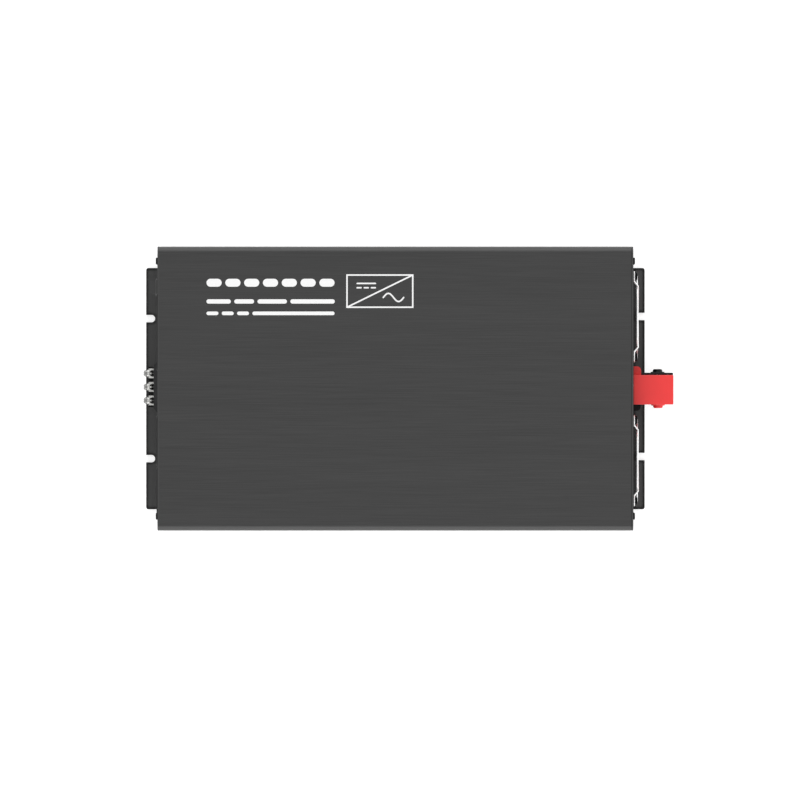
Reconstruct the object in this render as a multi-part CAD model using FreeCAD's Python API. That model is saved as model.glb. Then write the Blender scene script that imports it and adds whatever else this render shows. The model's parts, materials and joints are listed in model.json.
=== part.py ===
import FreeCAD, Part
import math
import os
from FreeCAD import Vector

# Power inverter: a battery feeds the terminals on the rear panel, mains comes out of the front panel.
# Millimetres. +X points to the rear (battery) panel, -X to the front (mains) panel, +Y to the left
# of somebody facing the front panel, +Z up. Origin: centre of the base plate's underside.

# ---- Case
CASE_LENGTH = 420.0          # over both end panels
CASE_WIDTH = 250.8
CASE_TOP = 106.0
BASE_T = 2.0
PANEL_T = 1.3
EDGE_RADIUS = 7.0            # long top edges of the case
ROOF_T = 2.5
FIN_DEPTH = 5.5
FIN_PITCH = 7.0
FIN_GAP = 4.2
FIN_FIRST_Z = 17.0
FIN_COUNT = 11
WALL_T = 3.0                 # side wall behind the fins
PORT_Y = 112.6               # screw channels for the end panels
PORT_Z = (12.0, 97.5)

# ---- Mounting flanges, part of the base plate
FLANGE_OUT = 10.7
FLANGE_WIDTH = 213.6
SLOT_WIDTH = 6.5
SLOT_DEPTH = 7.9
SLOT_YS = {-1: (62.0, -62.0), 1: (63.9, -60.1)}   # by end: -1 mains, 1 battery

# ---- Battery end
FAN_Y = 63.5
FAN_Z = (BASE_T + CASE_TOP) / 2
FAN_SIZE = 80.0
FAN_DEPTH = 25.0
FAN_HOLE = 35.75             # half the fan's hole spacing
FAN_BORE_R = 38.2
GUARD_WIRE_R = 0.7
GUARD_LOOP_R = 3.9
POSITIVE_Z = 76.0            # the two battery terminals stand one above the other
NEGATIVE_Z = 30.0
COVER_LENGTH = 35.5          # insulating cover of each terminal
COVER_Y = (-14.1, 12.0)      # plug side, ear side
COVER_HALF_Z = 17.0
EAR_SCREW_Y = 15.9
EAR_END_Y = 19.6
CABLE_R = 5.5                # bore for the battery cable
CABLE_DEPTH = 22.0
CABLE_Y = 2.0                # bore axis, off the cover's middle to leave thread for the clamp
CLAMP_X = 21.9               # clamp screw, from the panel

# ---- Mains end
SWITCH_Y, SWITCH_Z = 89.6, 30.0
SWITCH_TILT = 11.0
MAINS_Y, MAINS_Z = 1.5, 30.0
MAINS_PITCH = 12.0
DISPLAY_Y, DISPLAY_Z = 50.0, 74.0
USB_Y, USB_Z = 57.0, 30.0
SOCKET_YS = (-46.0, -92.0)
SOCKET_Z = 66.0
SHUTTER_TRAVEL = 3.4

# ---- Inside
BOARD_Z = 12.0
BOARD_T = 1.6
BOARD_TOP = BOARD_Z + BOARD_T

FRONT_X = -CASE_LENGTH / 2
REAR_X = CASE_LENGTH / 2
SHELL_X = REAR_X - PANEL_T   # ends of the upper shell
HALF_W = CASE_WIDTH / 2
WALL_Y = HALF_W - FIN_DEPTH - WALL_T
FRONT = (-1, 0, 0)
REAR = (1, 0, 0)
UP = (0, 0, 1)
DOWN = (0, 0, -1)


# ================================================================ helpers
def box(x0, x1, y0, y1, z0, z1):
    return Part.makeBox(x1 - x0, y1 - y0, z1 - z0, Vector(x0, y0, z0))


def block(centre, size):
    """Box from its centre and full size."""
    corner = Vector(*centre) - Vector(*size) / 2
    return Part.makeBox(*size, corner)


def rod(radius, start, direction, length):
    return Part.makeCylinder(radius, length, Vector(*start), Vector(*direction))


def tube(outer, inner, start, direction, length):
    return rod(outer, start, direction, length).cut(rod(inner, start, direction, length))


def joined(shapes):
    """One solid from shapes that touch."""
    return shapes[0].fuse(shapes[1:]).removeSplitter()


def group(solids):
    return Part.makeCompound(solids)


def along(axis):
    """Test for straight edges that run along an axis."""
    axis = Vector(*axis)

    def test(edge):
        if edge.Curve.TypeId != "Part::GeomLine":
            return False
        return abs(abs(edge.tangentAt(edge.FirstParameter).dot(axis)) - 1) < 1e-6
    return test


def rounded(shape, radius, test):
    return shape.makeFillet(radius, [edge for edge in shape.Edges if test(edge)])


def at_top(height):
    """Test for edges that lie at this height."""
    return lambda edge: edge.BoundBox.ZMin > height - 1e-4


def placed(shape, origin, direction):
    """A shape drawn along +Z, carried to origin with +Z along direction."""
    turn = FreeCAD.Rotation(Vector(0, 0, 1), Vector(*direction))
    moved = shape.copy()
    moved.Placement = FreeCAD.Placement(Vector(*origin), turn)
    return moved


def moved(shape, x, y, z):
    copy = shape.copy()
    copy.translate(Vector(x, y, z))
    return copy


def prism(points, direction):
    """Extrusion of a closed straight-sided outline."""
    wire = Part.makePolygon([Vector(*p) for p in points + points[:1]])
    return Part.Face(wire).extrude(Vector(*direction))


def hexagon(flats, start, direction, length):
    """Hexagonal prism, flats apart across its sides."""
    corner = flats / math.sqrt(3)
    turns = [math.radians(60 * k) for k in range(6)]
    shape = prism([(corner * math.cos(t), corner * math.sin(t), 0) for t in turns], (0, 0, length))
    return placed(shape, start, direction)


def cable(radius, points):
    """Round wire along a smooth curve through the points."""
    curve = Part.BSplineCurve()
    curve.interpolate([Vector(*p) for p in points])
    path = Part.Wire(curve.toShape())
    start = Vector(*points[0])
    circle = Part.Circle(start, curve.tangent(curve.FirstParameter)[0], radius)
    return path.makePipeShell([Part.Wire(circle.toShape())], True, True)


def case_outline(x):
    """The case's end shape: square feet, rounded top corners."""
    arc = EDGE_RADIUS * (1 - math.sqrt(0.5))
    side, roof = HALF_W - EDGE_RADIUS, CASE_TOP - EDGE_RADIUS
    foot_r, foot_l = Vector(x, HALF_W, BASE_T), Vector(x, -HALF_W, BASE_T)
    wall_r, wall_l = Vector(x, HALF_W, roof), Vector(x, -HALF_W, roof)
    roof_r, roof_l = Vector(x, side, CASE_TOP), Vector(x, -side, CASE_TOP)
    mid_r = Vector(x, HALF_W - arc, CASE_TOP - arc)
    mid_l = Vector(x, -HALF_W + arc, CASE_TOP - arc)
    curves = [Part.LineSegment(foot_l, foot_r), Part.LineSegment(foot_r, wall_r),
              Part.Arc(wall_r, mid_r, roof_r), Part.LineSegment(roof_r, roof_l),
              Part.Arc(roof_l, mid_l, wall_l), Part.LineSegment(wall_l, foot_l)]
    return Part.Face(Part.Wire([curve.toShape() for curve in curves]))


# ================================================================ fasteners
def cross_recess(radius, top, depth):
    width = 0.3 * radius
    return [block((0, 0, top), (2 * reach, span, 2 * depth))
            for reach, span in ((0.6 * radius, width), (width / 2, 1.2 * radius))]


def pan_screw(head_r, head_h, shank_r, length):
    """Pan head on z = 0, shank below it."""
    head = rounded(Part.makeCylinder(head_r, head_h), 0.6 * head_h, at_top(head_h))
    screw = joined([head, rod(shank_r, (0, 0, 0.1), DOWN, length + 0.1)])
    return screw.cut(cross_recess(head_r, head_h, 0.6 * head_h))


def flush_screw(head_r, shank_r, length):
    """Countersunk head with its top at z = 0."""
    depth = head_r - shank_r
    head = Part.makeCone(shank_r, head_r, depth, Vector(0, 0, -depth))
    screw = joined([head, rod(shank_r, (0, 0, -depth + 0.01), DOWN, length - depth)])
    return screw.cut(cross_recess(head_r, 0, 0.5 * depth))


def nut(flats, height, bore):
    """Hexagonal nut standing on z = 0."""
    return hexagon(flats, (0, 0, 0), UP, height).cut(rod(bore, (0, 0, -1), UP, height + 2))


def end_panel_screws():
    screw = pan_screw(3.1, 1.5, 1.45, 10.0)
    return group([placed(screw, (side * REAR_X, y, z), (side, 0, 0))
                  for side in (-1, 1) for y in (-PORT_Y, PORT_Y) for z in PORT_Z])


BASE_SCREW_PLACES = [(x, y) for x in (-190.0, 0.0, 190.0) for y in (-117.0, 117.0)]
STANDOFF_PLACES = [(x, y) for x in (-170.0, -10.0, 150.0) for y in (-88.0, 88.0)]


def base_screws():
    screw = flush_screw(3.0, 1.4, 7.0)
    return group([placed(screw, (x, y, 0), DOWN) for x, y in BASE_SCREW_PLACES + STANDOFF_PLACES])


# ================================================================ case
def upper_shell():
    """Extruded roof and finned side walls."""
    shell = case_outline(-SHELL_X).extrude(Vector(2 * SHELL_X, 0, 0))
    shell = shell.cut(box(-SHELL_X, SHELL_X, -WALL_Y, WALL_Y, BASE_T, CASE_TOP - ROOF_T))
    cuts, adds = [], [shell]
    for side in (-1, 1):
        for k in range(FIN_COUNT):
            z = FIN_FIRST_Z + k * FIN_PITCH
            y = side * (HALF_W - FIN_DEPTH / 2 + 0.5)
            cuts.append(block((0, y, z), (2 * SHELL_X, FIN_DEPTH + 1, FIN_GAP)))
        foot = (side * 113.0, BASE_T + 3.5)
        adds.append(block((0, *foot), (2 * SHELL_X, 9.0, 7.0)))
        for z in PORT_Z:
            adds.append(rod(3.6, (-SHELL_X, side * PORT_Y, z), REAR, 2 * SHELL_X))
            adds.append(block((0, side * (PORT_Y + 2.2), z), (2 * SHELL_X, 4.4, 4.0)))
            cuts.append(rod(1.5, (-SHELL_X, side * PORT_Y, z), REAR, 2 * SHELL_X))
    cuts += [rod(1.45, (x, y, BASE_T), UP, 6.5) for x, y in BASE_SCREW_PLACES]
    return joined(adds).cut(cuts)


def base_plate():
    """Flat floor with an open-slotted flange at each end."""
    half_flange = FLANGE_WIDTH / 2
    reach = REAR_X + FLANGE_OUT
    floor = box(-REAR_X, REAR_X, -HALF_W + 0.5, HALF_W - 0.5, 0, BASE_T)
    flange = rounded(box(-reach, reach, -half_flange, half_flange, 0, BASE_T), 2.0, along(UP))
    cuts = []
    for side in (-1, 1):
        for y in SLOT_YS[side]:
            end = side * (reach - SLOT_DEPTH + SLOT_WIDTH / 2)
            cuts.append(rod(SLOT_WIDTH / 2, (end, y, -1), UP, BASE_T + 2))
            x0, x1 = sorted((end, side * (reach + 1)))
            cuts.append(box(x0, x1, y - SLOT_WIDTH / 2, y + SLOT_WIDTH / 2, -1, BASE_T + 1))
    for x, y in BASE_SCREW_PLACES + STANDOFF_PLACES:
        cuts.append(rod(1.5, (x, y, -1), UP, BASE_T + 2))
        cuts.append(Part.makeCone(3.05, 1.45, 1.6, Vector(x, y, 0)))
    return joined([floor, flange]).cut(cuts)


def panel_blank(x):
    panel = case_outline(x).extrude(Vector(PANEL_T, 0, 0))
    return panel.cut([rod(1.75, (x - 1, y, z), REAR, PANEL_T + 2)
                      for y in (-PORT_Y, PORT_Y) for z in PORT_Z])


# ================================================================ rear panel and fans
def rear_panel():
    x = SHELL_X
    cuts = []
    for y in (-FAN_Y, FAN_Y):
        cuts.append(rod(FAN_BORE_R - 0.4, (x - 1, y, FAN_Z), REAR, PANEL_T + 2))
        cuts += [rod(2.2, (x - 1, y + dy, FAN_Z + dz), REAR, PANEL_T + 2) for dy, dz in fan_corners()]
    for z, flip in ((POSITIVE_Z, 1), (NEGATIVE_Z, -1)):
        cuts.append(rod(9.5, (x - 1, flip * CABLE_Y, z), REAR, PANEL_T + 2))
        cuts.append(rod(1.7, (x - 1, flip * EAR_SCREW_Y, z), REAR, PANEL_T + 2))
    return panel_blank(x).cut(cuts)


def fan_corners():
    return [(dy, dz) for dy in (-FAN_HOLE, FAN_HOLE) for dz in (-FAN_HOLE, FAN_HOLE)]


def at_fan(shape, y):
    """Carries a shape drawn along +Z from the fan's inner face to the fan at this y."""
    return placed(shape, (SHELL_X - FAN_DEPTH, y, FAN_Z), REAR)


def fan_frame():
    """Square housing with corner pillars, four struts and a bearing tube."""
    half = FAN_SIZE / 2
    body = rounded(box(-half, half, -half, half, 0, FAN_DEPTH), 4.0, along(UP))
    cuts = [rod(FAN_BORE_R, (0, 0, -1), UP, FAN_DEPTH + 2)]
    cuts += [rod(2.15, (a, b, -1), UP, FAN_DEPTH + 2) for a, b in fan_corners()]
    web_r = FAN_BORE_R + 1.6
    waist = box(-half - 1, half + 1, -half - 1, half + 1, 4, FAN_DEPTH - 4)
    pillars = [rod(4.2, (a, b, 0), UP, FAN_DEPTH) for a, b in fan_corners()]
    waist = waist.cut([rod(web_r, (0, 0, 0), UP, FAN_DEPTH)] + pillars)
    body = body.cut(cuts + [waist])
    hub = [rod(16.0, (0, 0, 0), UP, 2.4), rod(3.6, (0, 0, 2.3), UP, 14.0)]
    struts = []
    for k in range(4):
        strut = box(14, FAN_BORE_R + 0.8, -1.8, 1.8, 0, 2.4)
        strut.rotate(Vector(0, 0, 0), Vector(0, 0, 1), 90 * k + 20)
        struts.append(strut)
    return joined([body] + hub + struts).cut(rod(1.55, (0, 0, 0.8), UP, 20))


def blade_section(radius, chord, pitch, camber):
    """Thin cambered section, square to the radius, pitch degrees from the plane of rotation."""
    thickness = 1.3
    turn = math.radians(pitch)

    def point(run, lift):
        return Vector(radius, run * math.cos(turn) - lift * math.sin(turn),
                      run * math.sin(turn) + lift * math.cos(turn))
    low = [point(-chord / 2, 0), point(0, camber), point(chord / 2, 0)]
    high = [point(chord / 2, thickness), point(0, camber + thickness), point(-chord / 2, thickness)]
    curves = [Part.Arc(*low), Part.LineSegment(low[2], high[0]),
              Part.Arc(*high), Part.LineSegment(high[2], low[0])]
    return Part.Wire([curve.toShape() for curve in curves])


def fan_rotor():
    """Seven blades on a hub cup that turns on its own shaft."""
    cup = rounded(Part.makeCylinder(16.5, 19.0, Vector(0, 0, 4.2)), 1.5, at_top(23.2))
    cup = cup.cut(rod(15.0, (0, 0, 3), UP, 18.4))
    root, tip = blade_section(15.7, 17, 48, 1.8), blade_section(38.6, 25, 30, 2.6)
    blade = Part.makeLoft([root, tip], True, True).common(rod(37.2, (0, 0, -20), UP, 40))
    blades = []
    for k in range(7):
        turned = moved(blade, 0, 0, 13.4)
        turned.rotate(Vector(0, 0, 0), Vector(0, 0, 1), 360 / 7 * k)
        blades.append(turned)
    spindle = rod(1.5, (0, 0, 2.2), UP, 20.5)
    return joined([cup, spindle] + blades)


def fan_stator():
    """Wound core round the bearing tube."""
    core = Part.makeCylinder(7.0, 8.0, Vector(0, 0, 6))
    arms = []
    for k in range(4):
        arm = box(5, 11.0, -2.2, 2.2, 6, 14)
        shoe = box(10.5, 13.0, -6.0, 6.0, 6.5, 13.5)
        for piece in (arm, shoe):
            piece.rotate(Vector(0, 0, 0), Vector(0, 0, 1), 90 * k)
            arms.append(piece)
    return joined([core] + arms).common(rod(13.6, (0, 0, 0), UP, 20)).cut(rod(3.65, (0, 0, 0), UP, 20))


def fan_guard():
    """Wire rings welded under four arms that step down to a screw loop at each corner."""
    ring_z, arm_z, loop_z = 3.4, 4.2, GUARD_WIRE_R + 0.05
    loop_at = FAN_HOLE * math.sqrt(2)
    wire = GUARD_WIRE_R
    spoke_end, leg_start = 38.2, 44.3
    knees = (Vector(spoke_end, 0, arm_z), Vector(leg_start, 0, loop_z))
    step = knees[1] - knees[0]
    arm = [rod(wire, (0, 0, arm_z), REAR, spoke_end),
           Part.makeCylinder(wire, step.Length, knees[0], step),
           rod(wire, knees[1], REAR, loop_at - GUARD_LOOP_R - leg_start + 0.3)]
    arm += [Part.makeSphere(wire, knee) for knee in knees]
    arm.append(Part.makeTorus(GUARD_LOOP_R, wire, Vector(loop_at, 0, loop_z)))
    parts = [Part.makeTorus(r, wire, Vector(0, 0, ring_z)) for r in (8, 15, 22, 29, 36)]
    for k in range(4):
        for piece in arm:
            turned = piece.copy()
            turned.rotate(Vector(0, 0, 0), Vector(0, 0, 1), 45 + 90 * k)
            parts.append(turned)
    return placed(parts[0].fuse(parts[1:]), (REAR_X, 0, FAN_Z), REAR)


def fan_screws():
    """Self-tapping screws through the guard's loops into the fans' corner pillars."""
    screw = pan_screw(3.8, 2.2, 2.1, 13.0)
    x = REAR_X + 2 * GUARD_WIRE_R + 0.1
    return group([placed(screw, (x, y + dy, FAN_Z + dz), REAR)
                  for y in (-FAN_Y, FAN_Y) for dy, dz in fan_corners()])


# ================================================================ battery terminals
# Each is drawn as the positive one about its own centre, with x measured from the panel's face.
# The negative one is the same part turned half a turn about X.
POCKET_Y = (-11.1, 10.6)         # room for the brass block inside the cover
BLOCK_X = (3.0, 28.0)
BLOCK_Y = (-11.0, 10.5)
BLOCK_HALF_Z = 11.0
STUD_R = 6.0
STUD_END = -21.0
BUSBAR_X = (-9.3, -6.3)
BUSBAR_HALF = 9.0                # round the stud
BUSBAR_DROP_Y = 17.0             # each strip steps sideways before it goes down
BUSBAR_FOOT_X = -52.0


def at_terminal(shape, positive):
    turned = shape.copy()
    if not positive:
        turned.rotate(Vector(0, 0, 0), Vector(1, 0, 0), 180)
    turned.translate(Vector(REAR_X, 0, POSITIVE_Z if positive else NEGATIVE_Z))
    return turned


def terminal_cover():
    """Moulded cover: cable funnel at the end, plug hole in one side, screw ear on the other."""
    outer = box(0, COVER_LENGTH, *COVER_Y, -COVER_HALF_Z, COVER_HALF_Z)
    outer = rounded(outer, 0.8, lambda e: along(REAR)(e) or e.BoundBox.XMin > COVER_LENGTH - 0.01)
    ear = rounded(box(0, 7.0, COVER_Y[1] - 1, EAR_END_Y, -5, 5), 3.6,
                  lambda e: along(UP)(e) and e.BoundBox.XMin > 6.5 and e.BoundBox.YMin > 19)
    body = joined([outer, ear, rod(9.4, (-5.0, CABLE_Y, 0), REAR, 6.0)])
    funnel = Part.makeCone(7.0, 9.5, 4.5, Vector(COVER_LENGTH - 4.5, CABLE_Y, 0), Vector(1, 0, 0))
    cuts = [
        box(BLOCK_X[0] - 0.1, BLOCK_X[1] + 0.1, *POCKET_Y, -BLOCK_HALF_Z - 0.1, BLOCK_HALF_Z + 0.1),
        rod(7.0, (BLOCK_X[1], CABLE_Y, 0), REAR, 10),
        funnel,
        rod(STUD_R + 0.15, (-6, CABLE_Y, 0), REAR, 10),
        rod(4.6, (CLAMP_X, COVER_Y[0] - 1, 0), (0, 1, 0), 5),
        rod(1.7, (-1, EAR_SCREW_Y, 0), REAR, 10),
        rod(3.0, (3.5, EAR_SCREW_Y, 0), REAR, 4.0),
    ]
    return body.cut(cuts)


def terminal_block():
    """Brass block bored for the cable, with a stud through the panel."""
    brass = box(*BLOCK_X, *BLOCK_Y, -BLOCK_HALF_Z, BLOCK_HALF_Z)
    stud = rod(STUD_R, (STUD_END, CABLE_Y, 0), REAR, BLOCK_X[0] - STUD_END + 1)
    return joined([brass, stud]).cut([
        rod(CABLE_R, (BLOCK_X[1] - CABLE_DEPTH, CABLE_Y, 0), REAR, 30),
        rod(4.0, (CLAMP_X, BLOCK_Y[0] - 1, 0), (0, 1, 0), 13)])


def clamp_screw():
    """Socket set screw, turned in from the side, with a spigot for its pressure pad."""
    y0 = BLOCK_Y[0] + 0.2
    body = joined([rod(3.95, (CLAMP_X, y0, 0), (0, 1, 0), 6.0),
                   rod(1.5, (CLAMP_X, y0 + 5.9, 0), (0, 1, 0), 0.8)])
    return body.cut(hexagon(4.0, (CLAMP_X, y0 - 0.1, 0), (0, 1, 0), 3.5))


def pressure_pad():
    """Swivel foot on the set screw's tip."""
    y0 = BLOCK_Y[0] + 6.25
    pad = rod(3.5, (CLAMP_X, y0, 0), (0, 1, 0), 1.1)
    return pad.cut(rod(1.55, (CLAMP_X, y0 - 1, 0), (0, 1, 0), 1.7))


def screw_plug():
    """Push-in insulating plug: a thin flange that rests on the cover, with a domed finger nub."""
    face = COVER_Y[0]
    flange = rounded(rod(6.1, (CLAMP_X, face, 0), (0, -1, 0), 0.9), 0.4,
                     lambda e: e.BoundBox.YMax < face - 0.8)
    nub = rounded(rod(4.3, (CLAMP_X, face - 0.8, 0), (0, -1, 0), 2.4), 1.6,
                  lambda e: e.BoundBox.YMax < face - 3.1)
    return joined([flange, nub, rod(4.5, (CLAMP_X, face - 0.1, 0), (0, 1, 0), 2.4)])


def busbar(positive):
    """Copper strip from a terminal's stud, sideways, down and along to the board."""
    x0, x1 = REAR_X + BUSBAR_X[0], REAR_X + BUSBAR_X[1]
    side = 1 if positive else -1
    z = POSITIVE_Z if positive else NEGATIVE_Z
    stud_y, drop_y = side * CABLE_Y, side * BUSBAR_DROP_Y
    y0, y1 = sorted((stud_y - side * BUSBAR_HALF, drop_y + 5 * side))
    foot = BOARD_TOP + 0.1
    strip = joined([
        box(x0, x1, y0, y1, z - BUSBAR_HALF, z + BUSBAR_HALF),
        box(x0, x1, drop_y - 5, drop_y + 5, foot, z + BUSBAR_HALF),
        box(REAR_X + BUSBAR_FOOT_X, x1, drop_y - 5, drop_y + 5, foot, foot + 3)])
    return strip.cut(rod(STUD_R + 0.15, (x0 - 1, stud_y, z), REAR, 6))


def terminal_nuts():
    single = nut(18.0, 6.0, STUD_R + 0.1)
    return group([placed(single, (REAR_X + BUSBAR_X[0], y, z), FRONT)
                  for y, z in ((CABLE_Y, POSITIVE_Z), (-CABLE_Y, NEGATIVE_Z))])


def cover_screws():
    screw = pan_screw(2.7, 1.8, 1.45, 9.0)
    return group([at_terminal(placed(screw, (3.5, EAR_SCREW_Y, 0), REAR), positive)
                  for positive in (True, False)])


# ================================================================ front panel
SLOT_FIELDS = (                  # vent slots: first y, last y, bottom, top
    (-19.0, 11.0, 55.0, 93.0),
    (-104.0, -34.0, 14.0, 34.0),
)
VENT_WIDTH = 2.6
VENT_PITCH = 5.0
SWITCH_HOLE = (6.55, 9.55)       # half sizes, Y and Z
MAINS_HOLE = (17.0, 9.0)
DISPLAY_HOLE = (30.2, 17.2)
USB_HOLE = (14.2, 8.2)
SOCKET_BODY = (20.0, 23.0)


def vent_slots():
    slots = []
    for first, last, bottom, top in SLOT_FIELDS:
        for k in range(int((last - first) / VENT_PITCH) + 1):
            y = first + k * VENT_PITCH
            r = VENT_WIDTH / 2
            slots.append(box(FRONT_X - 1, FRONT_X + 3, y - r, y + r, bottom + r, top - r))
            slots += [rod(r, (FRONT_X - 1, y, z), REAR, 4) for z in (bottom + r, top - r)]
    return slots


def opening(y, z, half):
    return block((FRONT_X, y, z), (6, 2 * half[0], 2 * half[1]))


def front_panel():
    cuts = vent_slots()
    cuts += [opening(SWITCH_Y, SWITCH_Z, SWITCH_HOLE), opening(MAINS_Y, MAINS_Z, MAINS_HOLE),
             opening(DISPLAY_Y, DISPLAY_Z, DISPLAY_HOLE), opening(USB_Y, USB_Z, USB_HOLE)]
    cuts += [opening(y, SOCKET_Z, (SOCKET_BODY[0] + 0.1, SOCKET_BODY[1] + 0.1)) for y in SOCKET_YS]
    cuts += [rod(1.6, (FRONT_X - 1, y, z), REAR, 4) for y, z in LIGHT_PLACES]
    return panel_blank(FRONT_X).cut(cuts)


def plate(y, z, half, d0, d1, corner):
    """Rounded rectangular plate between depths d0 and d1 outside the front panel."""
    shape = box(FRONT_X - d1, FRONT_X - d0, y - half[0], y + half[0], z - half[1], z + half[1])
    return rounded(shape, corner, along(REAR)) if corner else shape


# ---- rocker switch
SWITCH_PIVOT_X = FRONT_X + 1.5


def switch_housing():
    rim = rounded(plate(SWITCH_Y, SWITCH_Z, (7.5, 10.5), 0, 2.0, 1.2), 0.6,
                  lambda e: e.BoundBox.XMax < FRONT_X - 1.9)
    well = plate(SWITCH_Y, SWITCH_Z, (6.45, 9.45), -13, 0.5, 0)
    cuts = [plate(SWITCH_Y, SWITCH_Z, (5.75, 9.0), 0.2, 3, 0.4),
            plate(SWITCH_Y, SWITCH_Z, (5.75, 8.5), -8, 0.5, 0),
            rod(1.05, (SWITCH_PIVOT_X, SWITCH_Y - 6.2, SWITCH_Z), (0, 1, 0), 12.4)]
    return joined([rim, well]).cut(cuts)


def switch_rocker():
    """Two-faced button on its own pins, drawn level and then tilted to its off position."""
    profile = [(7.0, -8.2), (5.2, 0.0), (7.0, 8.2), (-2.0, 6.8), (-4.0, 3.0), (-4.0, -3.0), (-2.0, -6.8)]
    points = [(-out, SWITCH_Y - 5.6, z) for out, z in profile]
    button = prism(points, (0, 11.2, 0))
    button = rounded(button, 0.5, lambda e: e.BoundBox.XMax < -5 and e.BoundBox.YLength < 11)
    pins = rod(1.0, (0, SWITCH_Y - 6.15, 0), (0, 1, 0), 12.3)
    rocker = joined([button, pins])
    rocker.rotate(Vector(0, 0, 0), Vector(0, 1, 0), -SWITCH_TILT)
    return moved(rocker, SWITCH_PIVOT_X, 0, SWITCH_Z)


def switch_tabs():
    x = FRONT_X + 13
    return group([block((x + 4, SWITCH_Y, SWITCH_Z + dz), (8, 4.8, 0.8)) for dz in (-5.5, 0, 5.5)])


# ---- mains screw terminals; depths are outward from the panel's face
CELL_YS = (MAINS_Y + MAINS_PITCH, MAINS_Y, MAINS_Y - MAINS_PITCH)
FOOT_D = 3.8
SEAT_D = 2.4
CONTACT_T = 1.2
BARRIER_D = 8.4
PLATE_D = 8.2
PLATE_HALF = 4.4
SCREW_HEAD_H = 3.6


def mains_block():
    """Barrier block with a bevelled foot, four ribs and a sunken seat in each cell."""
    foot_half, seat_half = 23.0, 18.6
    outline = [(0, foot_half), (0.6, foot_half), (FOOT_D, seat_half),
               (FOOT_D, -seat_half), (0.6, -foot_half), (0, -foot_half)]
    foot = prism([(FRONT_X - d, MAINS_Y + y, MAINS_Z - 12) for d, y in outline], (0, 0, 24))
    parts = [foot, plate(MAINS_Y, MAINS_Z, (16.8, 8.8), -9, 0.5, 0)]
    for offset, width in ((-17.2, 1.4), (-6.0, 2.9), (6.0, 2.9), (17.2, 1.4)):
        parts.append(plate(MAINS_Y + offset, MAINS_Z, (width / 2, 9.5), FOOT_D - 0.5, BARRIER_D, 0))
    cuts = []
    for y in CELL_YS:
        cuts.append(plate(y, MAINS_Z, (4.5, 9.0), SEAT_D, 10, 0))
        cuts.append(rod(2.6, (FRONT_X - SEAT_D - 1, y, MAINS_Z), REAR, 11))
        cuts.append(box(FRONT_X - 5, FRONT_X + 10, y - 3.1, y + 3.1, MAINS_Z - 7.7, MAINS_Z - 6.3))
    return joined(parts).cut(cuts)


def mains_contacts():
    """Three plated strips, each with a tapped collar and a tail that goes back through the block."""
    strips = []
    x = FRONT_X - SEAT_D
    for y in CELL_YS:
        seat = box(x - CONTACT_T, x, y - 4.2, y + 4.2, MAINS_Z - 7.6, MAINS_Z + 8)
        collar = rod(2.5, (x - 0.1, y, MAINS_Z), REAR, 5)
        tail = box(x - CONTACT_T, FRONT_X + 20, y - 3, y + 3, MAINS_Z - 7.6, MAINS_Z - 6.4)
        strips.append(joined([seat, collar, tail]).cut(rod(1.95, (x - 2, y, MAINS_Z), REAR, 12)))
    return group(strips)


def clamp_plate(y):
    """Captive clamp plate, folded back above and below, with a round notch in each fold."""
    under = SEAT_D + CONTACT_T + 0.1
    half, z = PLATE_HALF, MAINS_Z
    top = box(FRONT_X - PLATE_D, FRONT_X - PLATE_D + 0.8, y - half, y + half, z - 4.6, z + 4.6)
    folds = [box(FRONT_X - PLATE_D, FRONT_X - under, y - half, y + half, z + a, z + b)
             for a, b in ((-4.6, -3.4), (3.4, 4.6))]
    notch = rod(2.9, (FRONT_X - 4.7, y, z - 10), UP, 20)
    screw_hole = rod(2.05, (FRONT_X - 10, y, z), REAR, 10)
    return joined([fold.cut(notch) for fold in folds] + [top]).cut(screw_hole)


def mains_screw(y):
    """Domed cross-head screw with its washer, and a collar that draws the clamp plate out."""
    head = rounded(Part.makeCylinder(2.9, SCREW_HEAD_H), 2.3, at_top(SCREW_HEAD_H))
    washer = rod(3.4, (0, 0, -1.05), UP, 1.3)
    collar = rod(2.4, (0, 0, -3.4), UP, 1.4)
    shank = rod(1.9, (0, 0, -1), DOWN, 13)
    slots = [block((0, 0, SCREW_HEAD_H), (length, width, 3.2)) for length, width in ((4.0, 0.7), (0.7, 4.0))]
    screw = joined([head, washer, collar, shank]).cut(slots)
    return placed(screw, (FRONT_X - PLATE_D - 1.1, y, MAINS_Z), FRONT)


# ---- display, charging ports and lights
LIGHT_PLACES = [(99.0, 66.0), (99.0, 78.0)]


def display_bezel():
    frame = rounded(plate(DISPLAY_Y, DISPLAY_Z, (34, 21), 0, 0.8, 2.5), 0.4,
                    lambda e: e.BoundBox.XMax < FRONT_X - 0.7)
    collar = plate(DISPLAY_Y, DISPLAY_Z, (30, 17), -4, 0.1, 0)
    return joined([frame, collar]).cut(plate(DISPLAY_Y, DISPLAY_Z, (28.6, 15.6), -5, 2, 0.8))


def display_window():
    return plate(DISPLAY_Y, DISPLAY_Z, (28.5, 15.5), -1.2, 0.5, 0.8)


def display_module():
    """Liquid crystal cell on its driver board, behind the window."""
    cell = plate(DISPLAY_Y, DISPLAY_Z, (27.5, 14.5), -4.4, -1.4, 0)
    board = plate(DISPLAY_Y, DISPLAY_Z, (33, 19), -6.0, -4.4, 0)
    return joined([cell, board])


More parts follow.
